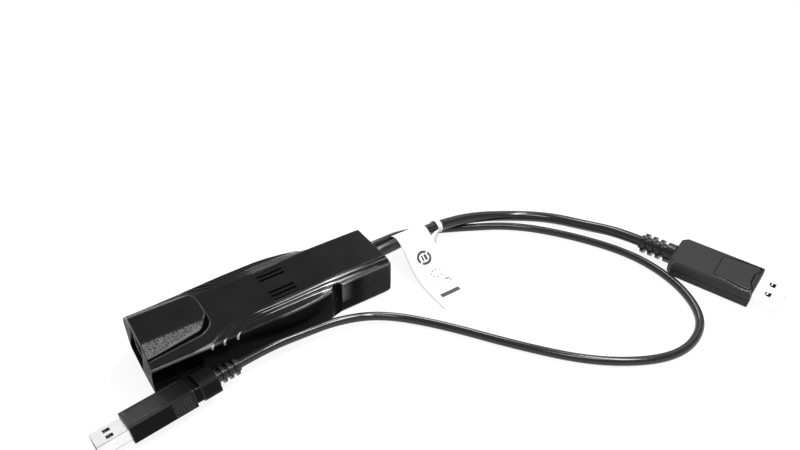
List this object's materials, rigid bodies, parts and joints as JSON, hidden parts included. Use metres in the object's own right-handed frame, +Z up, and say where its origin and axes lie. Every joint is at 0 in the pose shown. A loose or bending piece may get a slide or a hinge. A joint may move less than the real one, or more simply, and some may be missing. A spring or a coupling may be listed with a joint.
{
  "type": "kvm dongle",
  "caption": "Moulded KVM adapter dongle with a network socket, two free cords ending in a video plug with a press latch and a USB plug, and a cable tag.",
  "frame": {"origin": "bottom centre of the moulded case, cords left out", "axes": "+X from the network socket to the cord end, +Z up, +Y completes a right-handed frame"},
  "size_m": [0.2939, 0.148, 0.025],
  "materials": {
    "case_plastic": "fine matt texture",
    "screw_steel": "zinc plated",
    "board_green": "solder mask",
    "chip_black": "moulded",
    "bright_metal": "nickel plated",
    "header_white": "moulded",
    "capacitor_tan": "fired",
    "jack_black": "moulded",
    "contact_gold": "gold plated",
    "soft_black": "satin",
    "lead_jacket": "satin",
    "cord_black": "satin jacket",
    "plug_plastic": "fine matt texture",
    "tag_film": "coated film"
  },
  "bodies": {
    "dongle": {"upper_shell": "case_plastic", "lower_shell": "case_plastic", "case_screws": "screw_steel", "main_board": "board_green", "video_chip": "chip_black", "lan_magnetics": "chip_black", "crystal": "bright_metal", "dp_header": "header_white", "usb_header": "header_white", "board_capacitors": "capacitor_tan", "rj45_shield": "bright_metal", "rj45_jack": "jack_black", "rj45_contacts": "contact_gold", "cord_bush": "soft_black", "dp_leads": "lead_jacket", "usb_leads": "lead_jacket", "dp_cord": "cord_black", "usb_cord": "cord_black", "dp_boot": "soft_black", "usb_boot": "soft_black", "dp_lower_cover": "plug_plastic", "dp_upper_cover": "plug_plastic", "dp_shell": "bright_metal", "dp_insulator": "jack_black", "dp_contacts": "contact_gold", "usb_overmold": "soft_black", "usb_shell": "bright_metal", "usb_insulator": "jack_black", "usb_contacts": "contact_gold", "cable_tag": "tag_film"},
    "dp_latch": {"dp_latch_button": "plug_plastic", "dp_latch_hooks": "bright_metal"}
  },
  "joints": [
    {"name": "latch_press", "type": "hinge", "parent": "dongle", "child": "dp_latch", "pos_m": [0.19279, -0.09598, 0.01063], "axis": [0.9487, 0.2897, 0.1267], "range_deg": [0, 2.5], "stiffness_Nm_per_rad": 3, "springref_deg": -0.57}
  ]
}
